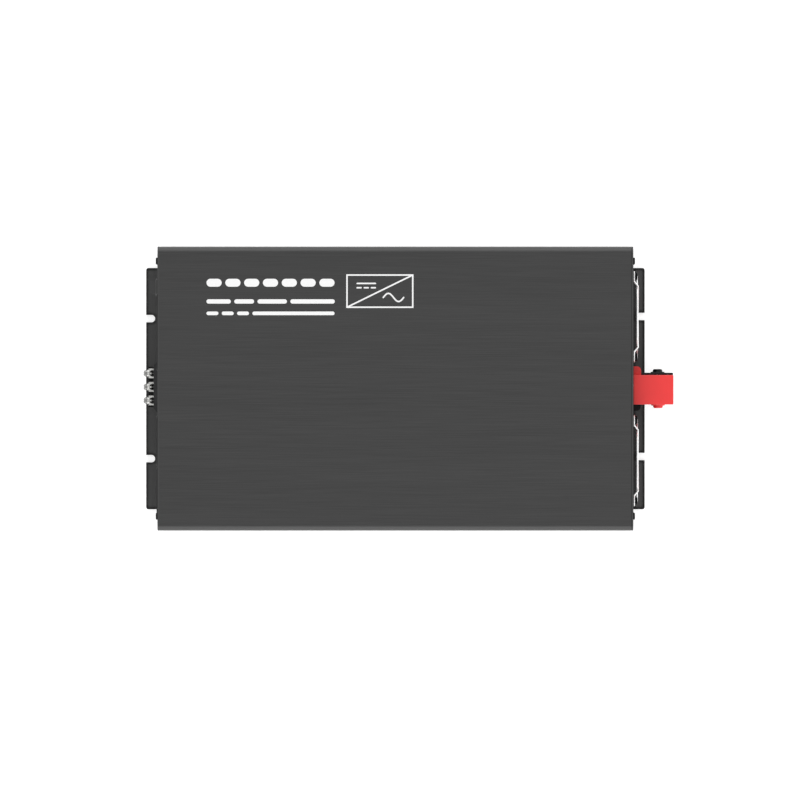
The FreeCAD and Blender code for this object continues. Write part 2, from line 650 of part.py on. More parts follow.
def usb_charger():
    """Twin charging port, each a metal-lined slot with its tongue."""
    face = rounded(plate(USB_Y, USB_Z, (16, 10), 0, 0.8, 1.5), 0.3,
                   lambda e: e.BoundBox.XMax < FRONT_X - 0.7)
    body = plate(USB_Y, USB_Z, (14, 8), -16, 0.1, 0)
    cuts = [plate(USB_Y, USB_Z + dz, (6.6, 2.65), -12, 2, 0) for dz in (-3.8, 3.8)]
    tongues = [plate(USB_Y, USB_Z + dz - 0.9, (5.6, 0.9), -12.5, 0.2, 0) for dz in (-3.8, 3.8)]
    return joined([joined([face, body]).cut(cuts)] + tongues)


def status_lights():
    lights = []
    for y, z in LIGHT_PLACES:
        dome = rounded(rod(1.5, (FRONT_X + 6, y, z), FRONT, 6.0), 0.9,
                       lambda e: e.BoundBox.XMax < FRONT_X + 0.1)
        lights.append(joined([dome, rod(2.0, (FRONT_X + 6, y, z), FRONT, 4.0)]))
    return group(lights)


# ---- mains sockets: two flat pins above, three splayed pins below
PIN_SLOTS = (                    # y and z from the socket's middle, lean in degrees
    (-6.35, 13.0, 0.0), (6.35, 13.0, 0.0),
    (-7.9, -11.0, -30.0), (7.9, -11.0, 30.0),
)
EARTH_SLOT_Z = 0.5
PIN_WIDTH, PIN_HEIGHT = 2.3, 8.0


def pin_opening(y, z, lean, d0, d1, grow=0.0):
    slot = plate(0, 0, (PIN_WIDTH / 2 + grow, PIN_HEIGHT / 2 + grow), d0, d1, 0)
    slot.rotate(Vector(0, 0, 0), Vector(1, 0, 0), lean)
    return moved(slot, 0, y, z)


def socket_body(y):
    """Moulded socket: bezel, front wall with pin slots, and a well for the shutter and contacts."""
    bezel = rounded(plate(y, SOCKET_Z, (22, 25), 0, 0.9, 3.0), 0.45,
                    lambda e: e.BoundBox.XMax < FRONT_X - 0.8)
    body = joined([bezel, plate(y, SOCKET_Z, SOCKET_BODY, -22, 0.3, 0)])
    cuts = [plate(y, SOCKET_Z, (18, 21), 0.4, 2, 2.0),
            plate(y, SOCKET_Z, (SOCKET_BODY[0] - 2.5, SOCKET_BODY[1] - 2), -23, -2.2, 0)]
    cuts += [pin_opening(y + dy, SOCKET_Z + dz, lean, -3, 2) for dy, dz, lean in PIN_SLOTS]
    cuts.append(pin_opening(y, SOCKET_Z + EARTH_SLOT_Z, 0, -3, 2))
    return body.cut(cuts)


def socket_shutter(y):
    """Sliding gate behind the live slots; its windows line up once it has moved sideways."""
    gate = plate(y - SHUTTER_TRAVEL / 2, SOCKET_Z, (15.6, 20), -3.8, -2.3, 0)
    cuts = [pin_opening(y - SHUTTER_TRAVEL + dy, SOCKET_Z + dz, lean, -5, 0, 0.2)
            for dy, dz, lean in PIN_SLOTS]
    cuts.append(plate(y - SHUTTER_TRAVEL / 2, SOCKET_Z + EARTH_SLOT_Z, (3.2, 4.5), -5, 0, 0))
    return gate.cut(cuts)


def socket_contacts():
    """Five sprung brass contacts to a socket, each a pair of leaves on a back web."""
    contacts = []
    for y in SOCKET_YS:
        for dy, dz, lean in PIN_SLOTS + ((0.0, EARTH_SLOT_Z, 0.0),):
            leaves = [plate(offset, 0, (0.35, 3.4), -19, -4.6, 0) for offset in (-1.6, 1.6)]
            clip = joined(leaves + [plate(0, 0, (1.95, 3.4), -20, -18.9, 0)])
            clip.rotate(Vector(0, 0, 0), Vector(1, 0, 0), lean)
            contacts.append(moved(clip, 0, y + dy, SOCKET_Z + dz))
    return group(contacts)


# ================================================================ electronics
CHOKE_X = -128.0


def main_board():
    board = box(-186, 174, -96, 96, BOARD_Z, BOARD_TOP)
    return board.cut([rod(1.6, (x, y, BOARD_Z - 1), UP, 4) for x, y in STANDOFF_PLACES])


def board_standoffs():
    pillar = hexagon(5.5, (0, 0, 0), UP, BOARD_Z - BASE_T).cut(rod(1.45, (0, 0, -1), UP, 20))
    return group([moved(pillar, x, y, BASE_T) for x, y in STANDOFF_PLACES])


def board_screws():
    screw = pan_screw(2.8, 1.8, 1.4, 5.5)
    return group([moved(screw, x, y, BOARD_TOP) for x, y in STANDOFF_PLACES])


TRANSFORMER_YS = (-61.0, -20.5, 20.5, 61.0)
TRANSFORMER_X = 58.0
CORE_BOTTOM = BOARD_TOP + 5.0
CORE_SIZE = (44.0, 17.0, 44.0)
CORE_YOKE = 7.0
LIMB_R = 6.0


def transformer_cores():
    """Ferrite frames, each with a round middle limb."""
    cores = []
    length, width, height = CORE_SIZE
    for y in TRANSFORMER_YS:
        centre = (TRANSFORMER_X, y, CORE_BOTTOM + height / 2)
        window = block(centre, (length - 2 * CORE_YOKE, width + 1, height - 2 * CORE_YOKE))
        limb = rod(LIMB_R, (TRANSFORMER_X, y, CORE_BOTTOM + 1), UP, height - 2)
        cores.append(joined([block(centre, CORE_SIZE).cut(window), limb]))
    return group(cores)


def transformer_bobbins():
    """Flanged tubes on the middle limbs, with feet that reach past the core to the board."""
    bobbins = []
    z0, z1 = CORE_BOTTOM + CORE_YOKE + 0.1, CORE_BOTTOM + CORE_SIZE[2] - CORE_YOKE - 0.1
    foot_y = CORE_SIZE[1] / 2 + 0.1
    for y in TRANSFORMER_YS:
        parts = [rod(LIMB_R + 1.2, (TRANSFORMER_X, y, z0), UP, z1 - z0)]
        parts += [block((TRANSFORMER_X, y, z), (29, 29, 1.2)) for z in (z0 + 0.6, z1 - 0.6)]
        for side in (-1, 1):
            y0, y1 = sorted((y + side * foot_y, y + side * 14.5))
            parts.append(box(TRANSFORMER_X - 14.5, TRANSFORMER_X + 14.5, y0, y1, BOARD_TOP + 0.1, z0 + 0.5))
        hole = rod(LIMB_R + 0.1, (TRANSFORMER_X, y, z0 - 1), UP, z1 - z0 + 2)
        bobbins.append(joined(parts).cut(hole))
    return group(bobbins)


def transformer_windings():
    """Copper round the bobbins, between their flanges."""
    z0 = CORE_BOTTOM + CORE_YOKE + 1.4
    height = CORE_SIZE[2] - 2 * CORE_YOKE - 2.8
    return group([tube(13.8, LIMB_R + 1.3, (TRANSFORMER_X, y, z0), UP, height) for y in TRANSFORMER_YS])


def can(radius, height, x, y):
    """Electrolytic capacitor standing on the board, with its rolled top edge."""
    body = Part.makeCylinder(radius, height, Vector(x, y, BOARD_TOP + 0.1))
    return rounded(body, 1.2, at_top(BOARD_TOP + 0.1 + height))


def input_capacitors():
    return group([can(9, 36, x, y) for x in (104, 126) for y in (-66, -44, 44, 66)])


def bulk_capacitors():
    return group([can(15, 46, -28, y) for y in (-50, -17, 17, 50)])


SINK_RUNS = ((20.0, 144.0), (-150.0, -52.0))     # primary and output stages


def heat_sinks():
    """Finned bars along both edges of the board, for the power transistors."""
    sinks = []
    for x0, x1 in SINK_RUNS:
        for side in (-1, 1):
            y0 = side * 86
            bar = block(((x0 + x1) / 2, y0, BOARD_TOP + 28.1), (x1 - x0, 4, 56))
            fins = [block(((x0 + x1) / 2, y0 + side * 5, BOARD_TOP + z), (x1 - x0, 7, 2))
                    for z in range(6, 56, 8)]
            sinks.append(joined([bar] + fins))
    return group(sinks)


def power_transistors():
    """Three-legged power transistors standing against the heat sinks."""
    parts = []
    for x0, x1 in SINK_RUNS:
        count = int((x1 - x0) / 20)
        for side in (-1, 1):
            for k in range(count):
                x = x0 + 12 + k * 20
                y = side * 81.4
                case = block((x, y, BOARD_TOP + 18), (15.6, 5, 20))
                legs = [block((x + dx, y, BOARD_TOP + 4.6), (1.2, 0.8, 9)) for dx in (-5.4, 0, 5.4)]
                parts.append(joined([case] + legs))
    return group(parts)


def output_choke():
    """Wound toroid lying on the board, drawn as one ring."""
    return Part.makeTorus(22, 9.5, Vector(CHOKE_X, 0, BOARD_TOP + 9.6))


def filter_capacitors():
    blocks = [block((-92, y, BOARD_TOP + 12.1), (14, 30, 24)) for y in (-46, 46)]
    return group([rounded(b, 1.0, along(UP)) for b in blocks])


def control_board():
    """Upright board with the wave generator and gate drivers."""
    board = box(-66, -64.4, -40, 40, BOARD_TOP + 0.1, BOARD_TOP + 52)
    chips = [box(-64.5, -62.4, y - 6, y + 6, z, z + 12) for y, z in ((-20, 34), (8, 30), (24, 44))]
    return joined([board] + chips)


def blade_fuses():
    fuses = []
    for k in range(6):
        y = -37.5 + k * 15
        holder = block((150, y, BOARD_TOP + 4.1), (8, 13, 8))
        fuses.append(joined([holder, block((150, y, BOARD_TOP + 11), (4.2, 12, 10))]))
    return group(fuses)


def mains_wires():
    """Live, neutral and earth from the board to the screw terminals."""
    wires = []
    for k, y in enumerate(CELL_YS):
        board_end = (-176, 24 - 24 * k, BOARD_TOP + 1.4)
        wires.append(cable(1.6, [board_end, (-177, 22 - 22 * k, 34), (-182, y, 38 + 3 * k),
                                 (-187.5, y, MAINS_Z - 5), (-188.4, y, MAINS_Z - 6.3 + 1.7)]))
    return group(wires)


def fan_leads():
    """One sleeved lead from each fan to the board."""
    return group([cable(1.4, [(182, side * 30, 20), (174, side * 34, 22), (166, side * 40, 19),
                              (164, side * 42, BOARD_TOP + 0.8)]) for side in (-1, 1)])


# ================================================================ export
def case_nodes():
    return {
        "upper_shell": upper_shell(),
        "base_plate": base_plate(),
        "front_panel": front_panel(),
        "rear_panel": rear_panel(),
        "end_panel_screws": end_panel_screws(),
        "base_screws": base_screws(),
    }


def fan_nodes():
    both = (FAN_Y, -FAN_Y)
    rotor = fan_rotor()
    return {
        "fan_frames": group([at_fan(fan_frame(), y) for y in both]),
        "fan_stators": group([at_fan(fan_stator(), y) for y in both]),
        "fan_guards": group([moved(fan_guard(), 0, y, 0) for y in both]),
        "fan_screws": fan_screws(),
        "fan_leads": fan_leads(),
        "left_fan_rotor": at_fan(rotor, FAN_Y),
        "right_fan_rotor": at_fan(rotor, -FAN_Y),
    }


def battery_nodes():
    made = {
        "terminal_blocks": group([at_terminal(terminal_block(), positive) for positive in (True, False)]),
        "terminal_cover_screws": cover_screws(),
        "terminal_nuts": terminal_nuts(),
        "busbars": group([busbar(True), busbar(False)]),
    }
    for name, positive in (("positive", True), ("negative", False)):
        made[f"{name}_terminal_cover"] = at_terminal(terminal_cover(), positive)
        made[f"{name}_clamp_screw"] = at_terminal(clamp_screw(), positive)
        made[f"{name}_pressure_pad"] = at_terminal(pressure_pad(), positive)
        made[f"{name}_screw_plug"] = at_terminal(screw_plug(), positive)
    return made


def mains_nodes():
    made = {
        "switch_housing": switch_housing(),
        "switch_rocker": switch_rocker(),
        "switch_tabs": switch_tabs(),
        "mains_block": mains_block(),
        "mains_contacts": mains_contacts(),
        "display_bezel": display_bezel(),
        "display_window": display_window(),
        "display_module": display_module(),
        "usb_charger": usb_charger(),
        "status_lights": status_lights(),
        "socket_bodies": group([socket_body(y) for y in SOCKET_YS]),
        "socket_contacts": socket_contacts(),
        "inner_socket_shutter": socket_shutter(SOCKET_YS[0]),
        "outer_socket_shutter": socket_shutter(SOCKET_YS[1]),
    }
    for name, y in zip(("live", "neutral", "earth"), CELL_YS):
        made[f"{name}_clamp_plate"] = clamp_plate(y)
        made[f"{name}_screw"] = mains_screw(y)
    return made


def electronics_nodes():
    return {
        "main_board": main_board(),
        "board_standoffs": board_standoffs(),
        "board_screws": board_screws(),
        "transformer_cores": transformer_cores(),
        "transformer_bobbins": transformer_bobbins(),
        "transformer_windings": transformer_windings(),
        "input_capacitors": input_capacitors(),
        "bulk_capacitors": bulk_capacitors(),
        "heat_sinks": heat_sinks(),
        "power_transistors": power_transistors(),
        "output_choke": output_choke(),
        "filter_capacitors": filter_capacitors(),
        "control_board": control_board(),
        "blade_fuses": blade_fuses(),
        "mains_wires": mains_wires(),
    }


os.makedirs("parts", exist_ok=True)
for part_group in (case_nodes(), fan_nodes(), battery_nodes(), mains_nodes(), electronics_nodes()):
    for name, shape in part_group.items():
        shape.exportStep(f"parts/{name}.step")
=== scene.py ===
import json
import math

import bpy
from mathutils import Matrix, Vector
from mathutils.bvhtree import BVHTree


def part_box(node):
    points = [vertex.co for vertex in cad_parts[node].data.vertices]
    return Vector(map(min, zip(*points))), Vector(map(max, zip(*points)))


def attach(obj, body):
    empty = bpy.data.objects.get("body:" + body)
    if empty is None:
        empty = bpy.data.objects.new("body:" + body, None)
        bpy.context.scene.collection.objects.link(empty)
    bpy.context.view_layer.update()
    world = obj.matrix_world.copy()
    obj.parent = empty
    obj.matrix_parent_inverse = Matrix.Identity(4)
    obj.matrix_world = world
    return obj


# A power inverter: materials for its CAD nodes, printed marks, a stage and a camera. All in metres.
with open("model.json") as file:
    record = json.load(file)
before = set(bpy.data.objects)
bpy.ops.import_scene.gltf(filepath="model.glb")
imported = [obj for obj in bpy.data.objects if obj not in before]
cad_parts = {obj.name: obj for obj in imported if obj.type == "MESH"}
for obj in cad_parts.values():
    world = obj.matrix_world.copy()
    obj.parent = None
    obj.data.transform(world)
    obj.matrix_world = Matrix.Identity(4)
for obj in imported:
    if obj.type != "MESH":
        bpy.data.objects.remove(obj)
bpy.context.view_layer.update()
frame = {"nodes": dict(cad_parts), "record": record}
MM = 0.001


def middle(node):
    low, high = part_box(node)
    return (low + high) / 2


# ================================================================ places, from the frame
SHELL_LOW, SHELL_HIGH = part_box("upper_shell")
ROOF_Z = SHELL_HIGH.z
REAR_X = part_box("rear_panel")[1].x
FRONT_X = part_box("front_panel")[0].x


# ================================================================ shader building
class Shader:
    """A node material being built. Most methods add nodes and return the socket with the result."""

    def __init__(self, name):
        self.material = bpy.data.materials.new(name)
        self.material.use_nodes = True
        self.tree = self.material.node_tree
        self.surface = self.tree.nodes["Principled BSDF"]
        self.here = self.add("TexCoord", {}).outputs["Object"]
        self.rounded = None

    def add(self, kind, inputs, **settings):
        node = self.tree.nodes.new("ShaderNode" + kind)
        for key, value in settings.items():
            setattr(node, key, value)
        for key, value in inputs.items():
            self.feed(node.inputs[key], value)
        return node

    def feed(self, socket, value):
        if isinstance(value, bpy.types.NodeSocket):
            self.tree.links.new(value, socket)
        else:
            socket.default_value = value

    def set(self, **inputs):
        """Feeds the surface: set(Base_Color=..., Roughness=...)."""
        for key, value in inputs.items():
            self.feed(self.surface.inputs[key.replace("_", " ")], value)

    def noise(self, per_metre, detail):
        """Noise with so many features to a metre along x, y and z, mostly between 0.3 and 0.7."""
        if isinstance(per_metre, (int, float)):
            per_metre = (per_metre,) * 3
        place = self.add("Mapping", {"Vector": self.here, "Scale": per_metre}).outputs[0]
        inputs = {"Vector": place, "Scale": 1.0, "Detail": detail, "Roughness": 0.55}
        return self.add("TexNoise", inputs).outputs["Fac"]

    def level(self, value, low, high, to_low=0.0, to_high=1.0):
        """Stretches low..high to to_low..to_high, clamped."""
        inputs = {"Value": value, "From Min": low, "From Max": high,
                  "To Min": to_low, "To Max": to_high}
        return self.add("MapRange", inputs).outputs[0]

    def spread(self, noise, to_low=0.0, to_high=1.0):
        """Stretches noise over the whole of to_low..to_high."""
        return self.level(noise, 0.3, 0.7, to_low, to_high)

    def math(self, operation, a, b):
        return self.add("Math", {0: a, 1: b}, operation=operation).outputs[0]

    def mix(self, factor, a, b):
        node = self.add("Mix", {"Factor": factor}, data_type="RGBA")
        self.feed(node.inputs["A"], a)
        self.feed(node.inputs["B"], b)
        return node.outputs["Result"]

    def near_edge(self, radius, full):
        """The normal blurred over this radius, and a value that is 1 along sharp edges and 0 about
        half the radius away. The smaller full is, the wider the band of 1."""
        flat = 0.995             # how alike the two normals are where the band begins
        blurred = self.add("Bevel", {"Radius": radius}, samples=4).outputs[0]
        normal = self.add("NewGeometry", {}).outputs["Normal"]
        alike = self.add("VectorMath", {0: blurred, 1: normal}, operation="DOT_PRODUCT")
        return blurred, self.level(alike.outputs["Value"], flat, 1.0 - full)

    def edges(self, radius):
        """Rounds the shading of sharp edges to this radius. Returns 1 along them and 0 elsewhere."""
        self.rounded, near = self.near_edge(radius, full=0.25)
        return near

    def bump(self, height, depth):
        """Normal from a height of 0 to 1 times this depth, laid over the rounded edges."""
        inputs = {"Height": height, "Strength": 1.0, "Distance": depth}
        if self.rounded is not None:
            inputs["Normal"] = self.rounded
        self.feed(self.surface.inputs["Normal"], self.add("Bump", inputs).outputs[0])

    def x_between(self, low, high, to_low=0.0, to_high=1.0):
        """to_low up to x = low, to_high from x = high on, both taken with the piece at rest."""
        x = self.add("SeparateXYZ", {0: self.here}).outputs["X"]
        return self.level(x, low, high, to_low, to_high)


def grey(value):
    return (value, value, value, 1.0)


def scaled(colour, factor):
    return tuple(c * factor for c in colour) + (1.0,)


# ================================================================ materials
SHADED = 0.1                     # how much of its colour a surface keeps where its tone is 0


def brushed_shell():
    """Dark anodised aluminium, brushed along X, darker in a thin band at its battery end and rubbed
    on its edges.
    """
    s = Shader("brushed_shell")
    fine = s.noise((22, 2600, 2600), 4)
    broad = s.noise((3, 110, 110), 3)
    streak = s.math("ADD", s.math("MULTIPLY", fine, 0.8), s.math("MULTIPLY", broad, 0.2))
    rub = s.math("MULTIPLY", s.edges(0.35 * MM), s.level(s.noise(140, 4), 0.45, 0.7))
    coat = s.mix(s.level(streak, 0.35, 0.65), grey(0.045), grey(0.060))
    coat = s.mix(s.math("MULTIPLY", rub, 0.5), coat, grey(0.16))
    seam = s.x_between(SHELL_HIGH.x - 0.9 * MM, SHELL_HIGH.x - 0.3 * MM)
    s.set(Base_Color=s.mix(seam, coat, grey(0.022)),
          Metallic=0.55, Roughness=s.spread(fine, 0.35, 0.45), Specular_IOR_Level=0.35,
          Anisotropic=0.5)
    s.set(Tangent=s.add("CombineXYZ", {"X": 1.0}).outputs[0])
    s.bump(fine, 0.008 * MM)
    return s.material


def powder_coat(name, shade, rim, painted_rim_tone, full, tone=None):
    """Fine orange-peel coat on sheet metal, with a painted rim along the sheet's edges: painted
    shade if darker than the coat, painted highlight if lighter.
    tone builds a factor from 0 to 1, from a darker coat to the full one."""
    s = Shader(name)
    peel = s.noise(900, 2)
    # edge marks the rim along the sheet's edges; a rim tone darker than the coat is painted shade
    # there, a lighter one a painted highlight
    edge = s.near_edge(rim, full)[1]
    s.edges(0.3 * MM)
    speck = s.spread(s.noise(2600, 2))
    coat = s.mix(speck, grey(shade * 0.93), grey(shade * 1.07))
    if tone:
        coat = s.mix(tone(s), grey(shade * SHADED), coat)
    handled = s.level(s.noise(35, 4), 0.35, 0.7, 0.0, 0.05)
    sheen = 0.4
    # a rim darker than the coat hardly shines, so its painted shade stays dark
    painted_rim_sheen = sheen if painted_rim_tone > shade else 0.02
    s.set(Base_Color=s.mix(edge, coat, grey(painted_rim_tone)),
          Roughness=s.math("ADD", s.spread(peel, 0.42, 0.5), handled),
          Specular_IOR_Level=s.level(edge, 0.0, 1.0, sheen, painted_rim_sheen))
    s.bump(peel, 0.03 * MM)
    return s.material


def moulded(name, colour, roughness, grain=0.02, variation=0.06, specular=0.45, edge=0.25,
            tone=None):
    """Injection-moulded plastic: fine grain, slight clouding, and edges polished by handling. The
    grain's depth and the edges' radius are in millimetres.
    tone builds a factor from 0 to 1, from a darker colour to the full one."""
    s = Shader(name)
    spark = s.noise(2600, 2)
    worn = s.math("MULTIPLY", s.edges(edge * MM), s.level(s.noise(300, 3), 0.35, 0.65))
    cloud = s.spread(s.noise(60, 3))
    body = s.mix(cloud, scaled(colour, 1 - variation), scaled(colour, 1 + variation))
    pale = tuple(min(1.0, c * 1.35 + 0.012) for c in colour) + (1.0,)
    body = s.mix(s.math("MULTIPLY", worn, 0.6), body, pale)
    if tone:
        body = s.mix(tone(s), scaled(colour, SHADED), body)
    grainy = s.spread(spark, roughness - 0.05, roughness + 0.07)
    s.set(Base_Color=body, Specular_IOR_Level=specular,
          Roughness=s.math("SUBTRACT", grainy, s.math("MULTIPLY", worn, 0.08)))
    s.bump(spark, grain * MM)
    return s.material


def plated(name, colour, roughness, wear=0.12, metallic=1.0, edge=0.15, scuff=0.006, tone=None):
    """Bright plated metal with fine scuffs, slight clouding and brighter rubbed edges. The scuffs'
    depth and the edges' radius are in millimetres.
    tone builds a factor from 0 to 1, from a darker colour to the full one."""
    s = Shader(name)
    cloud = s.noise(240, 4)
    fine = s.noise((2200, 300, 300), 3)
    rubbed = s.math("MULTIPLY", s.edges(edge * MM), 0.5)
    metal = s.mix(s.level(cloud, 0.35, 0.65), scaled(colour, 1 - wear), scaled(colour, 1.0))
    metal = s.mix(rubbed, metal, tuple(min(1.0, c * 1.2) for c in colour) + (1.0,))
    if tone:
        metal = s.mix(tone(s), scaled(colour, SHADED), metal)
    s.set(Base_Color=metal, Metallic=metallic,
          Roughness=s.spread(fine, roughness * 0.8, roughness * 1.35))
    s.bump(fine, scuff * MM)
    return s.material


def circuit_board():
    """Green solder mask over paler copper tracks."""
    s = Shader("circuit_board")
    place = s.add("Mapping", {"Vector": s.here, "Scale": (260, 260, 260)}).outputs[0]
    cells = s.add("TexVoronoi", {"Vector": place, "Scale": 1.0}, distance="CHEBYCHEV")
    ring = s.math("PINGPONG", s.math("MULTIPLY", cells.outputs["Distance"], 6.0), 1.0)
    track = s.level(ring, 0.45, 0.6)
    s.set(Base_Color=s.mix(track, (0.004, 0.045, 0.016, 1), (0.012, 0.11, 0.035, 1)),
          Roughness=s.spread(s.noise(500, 2), 0.25, 0.36), Specular_IOR_Level=0.5)
    s.bump(track, 0.03 * MM)
    return s.material


def enamelled_copper():
    """Wound copper: fine parallel turns under varnish."""
    s = Shader("enamelled_copper")
    turns = s.add("TexWave", {"Vector": s.here, "Scale": 320.0, "Distortion": 0.6, "Detail": 1.0},
                  bands_direction="Z").outputs["Fac"]
    s.set(Base_Color=s.mix(turns, (0.16, 0.05, 0.02, 1), (0.62, 0.26, 0.11, 1)), Metallic=0.8,
          Roughness=s.spread(s.noise(600, 2), 0.25, 0.4))
    s.bump(turns, 0.25 * MM)
    return s.material


def smoked_window():
    """Smoked acrylic: dark and mostly clear seen straight on, a mirror seen from the side."""
    s = Shader("smoked_window")
    slant = s.add("LayerWeight", {"Blend": 0.35}).outputs["Facing"]
    haze = s.spread(s.noise(900, 3))
    s.set(Base_Color=s.mix(haze, grey(0.010), grey(0.014)),
          Roughness=s.level(haze, 0, 1, 0.03, 0.06), Alpha=s.level(slant, 0.0, 1.0, 0.16, 0.95))
    return s.material


def crystal_cell():
    """Unlit liquid crystal glass, grey-green with a faint cloud."""
    s = Shader("crystal_cell")
    cloud = s.spread(s.noise(45, 3))
    s.set(Base_Color=s.mix(cloud, (0.27, 0.35, 0.25, 1), (0.31, 0.39, 0.28, 1)),
          Roughness=s.spread(s.noise(700, 2), 0.12, 0.2))
    return s.material


def ink(name, shade):
    """Screen-printing ink, slightly uneven."""
    s = Shader(name)
    film = s.spread(s.noise(1800, 3))
    s.set(Base_Color=s.mix(film, grey(shade * 0.94), grey(shade)),
          Roughness=s.level(film, 0, 1, 0.5, 0.62))
    s.bump(film, 0.004 * MM)
    return s.material


def floor_paper():
    """Seamless backdrop paper, lifted to white where it is seen or mirrored."""
    s = Shader("floor_paper")
    path = s.add("LightPath", {}).outputs
    seen = s.math("MAXIMUM", path["Is Camera Ray"], path["Is Glossy Ray"])
    s.set(Base_Color=s.mix(s.noise(40, 3), grey(0.86), grey(0.9)),
          Roughness=0.9, Specular_IOR_Level=0.1,
          Emission_Color=grey(1.0), Emission_Strength=s.math("MULTIPLY", seen, 0.55))
    return s.material


def painted_shade_near_panel(s):
    """Painted shade on the red mouldings where they meet the panel, and a painted gradient of light
    from the battery end that leaves them a little darker near the panel than at the cable.
    """
    root_end, body = REAR_X + 1.5 * MM, REAR_X + 3 * MM
    cable_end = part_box("positive_terminal_cover")[1].x
    return s.math("MULTIPLY", s.x_between(REAR_X, root_end, 0.35, 1.0),
                  s.x_between(body, cable_end, 0.86, 1.0))


def painted_shade_under_guards(s):
    """Painted shade on the base sheet in the rear flange's corner with the panel, under the guards,
    reaching about 29 mm inside the case; the sheet further inside keeps its full tone.
    """
    corner, shade_end = REAR_X + 2.2 * MM, REAR_X + 3.2 * MM
    inside, shade_start = REAR_X - 30 * MM, REAR_X - 29 * MM
    return s.math("MAXIMUM", s.x_between(corner, shade_end, 0.35, 1.0),
                  s.x_between(inside, shade_start, 1.0, 0.0))


def on_screw_with_painted_shade(s):
    """The mains screws keep their full colour between the darker dome and the shank; the shank is
    painted near black, a painted shade where it sits in the terminal's opening.
    """
    dome_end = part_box("live_screw")[0].x + 3.4 * MM
    shank = FRONT_X - 5.9 * MM
    return s.math("MULTIPLY", s.x_between(dome_end, dome_end + 0.3 * MM, 0.3, 1.0),
                  s.x_between(shank, shank + 0.2 * MM, 1.0, 0.03))


def on_barrier(s):
    """The mains block keeps its grey at the foot and is darkened nearly to black along its ribs."""
    foot = FRONT_X - 3.9 * MM
    return s.x_between(foot - 0.2 * MM, foot)


MATERIALS = {
    "shell_anodised": brushed_shell(),
    # the flange's near-black rim is painted shade along its edges and slots
    "sheet_powder": powder_coat("flange_coat", 0.060, rim=4.5 * MM, painted_rim_tone=0.001, full=0.02,
                                tone=painted_shade_under_guards),
    "black_screw": moulded("black_oxide", (0.002, 0.002, 0.0023), 0.4, grain=0.01, variation=0.2,
                           specular=0.05, edge=0.15),
    "bright_screw": plated("zinc_plate", (0.52, 0.53, 0.54), 0.3),
    "nickel": plated("nickel_plate", (0.66, 0.66, 0.64), 0.26),
    "guard_wire": plated("bright_wire", (0.88, 0.88, 0.88), 0.26, wear=0.08, metallic=0.6,
                         scuff=0.002),
    "fan_plastic": moulded("fan_plastic", (0.022, 0.022, 0.023), 0.42, grain=0.03, specular=0.4),
    "red_plastic": moulded("red_moulding", (0.83, 0.034, 0.034), 0.42, variation=0.03,
                           tone=painted_shade_near_panel),
    "black_plastic": moulded("black_moulding", (0.008, 0.008, 0.0085), 0.38, specular=0.2),
    "switch_plastic": moulded("switch_moulding", (0.05, 0.05, 0.05), 0.34, grain=0.01),
    "brass": plated("turned_brass", (0.62, 0.42, 0.16), 0.28, wear=0.25),
    "copper": enamelled_copper(),
    "display_glass": smoked_window(),
    "display_cell": crystal_cell(),
    "light_green": moulded("green_lens", (0.05, 0.42, 0.09), 0.18, grain=0.004),
    "board": circuit_board(),
    "ferrite": moulded("ferrite", (0.022, 0.021, 0.022), 0.6, grain=0.04, variation=0.15),
    "bobbin": moulded("bobbin_moulding", (0.02, 0.02, 0.018), 0.45),
    "capacitor_sleeve": moulded("capacitor_sleeve", (0.012, 0.016, 0.05), 0.3, grain=0.008,
                                variation=0.1, specular=0.5),
    "film_capacitor": moulded("film_capacitor", (0.42, 0.3, 0.03), 0.35),
    "sink_aluminium": plated("mill_aluminium", (0.66, 0.67, 0.68), 0.36),
    "transistor_epoxy": moulded("transistor_epoxy", (0.015, 0.015, 0.015), 0.55, grain=0.03),
    "fuse_plastic": moulded("fuse_amber", (0.62, 0.14, 0.01), 0.22, grain=0.004),
    "wire_sleeve": moulded("wire_sleeve", (0.015, 0.015, 0.015), 0.3, grain=0.008, variation=0.1,
                           specular=0.5),
}
# the panels' lighter rim is a painted highlight along their edges
PANEL_COAT = powder_coat("panel_coat", 0.036, rim=0.5 * MM, painted_rim_tone=0.065, full=0.25)
BARE_COPPER = plated("rolled_copper", (0.68, 0.30, 0.16), 0.3, wear=0.3)
BARRIER = moulded("barrier_moulding", (0.045, 0.045, 0.046), 0.4, specular=0.12, tone=on_barrier)
DOMED_SCREW = plated("domed_screw", (0.8, 0.8, 0.78), 0.26, tone=on_screw_with_painted_shade)
WHITE_INK = ink("white_ink", 0.9)
CELL_INK = ink("cell_ink", 0.02)
SLOT_OF = {row["node"]: row["material_slot"] for row in frame["record"]["subparts"]}
SPECIAL = {"front_panel": PANEL_COAT, "rear_panel": PANEL_COAT, "busbars": BARE_COPPER,
           "mains_block": BARRIER, "live_screw": DOMED_SCREW, "neutral_screw": DOMED_SCREW,
           "earth_screw": DOMED_SCREW}

for node_name, node in frame["nodes"].items():
    node.data.materials.clear()
    node.data.materials.append(SPECIAL.get(node_name, MATERIALS[SLOT_OF[node_name]]))


# ================================================================ printed marks
INK_LIFT = 0.05 * MM             # how far ink stands above the surface it is on
INK_STEP = 0.02 * MM             # how much higher a line stands than one it crosses
INK_SINK = 0.03 * MM             # how far its closed back lies below the surface
CAP_STEPS = 6                    # rows in each rounded end of a line of ink
CAP_TURN = 86                    # degrees of the rounding that they cover, short of a single point


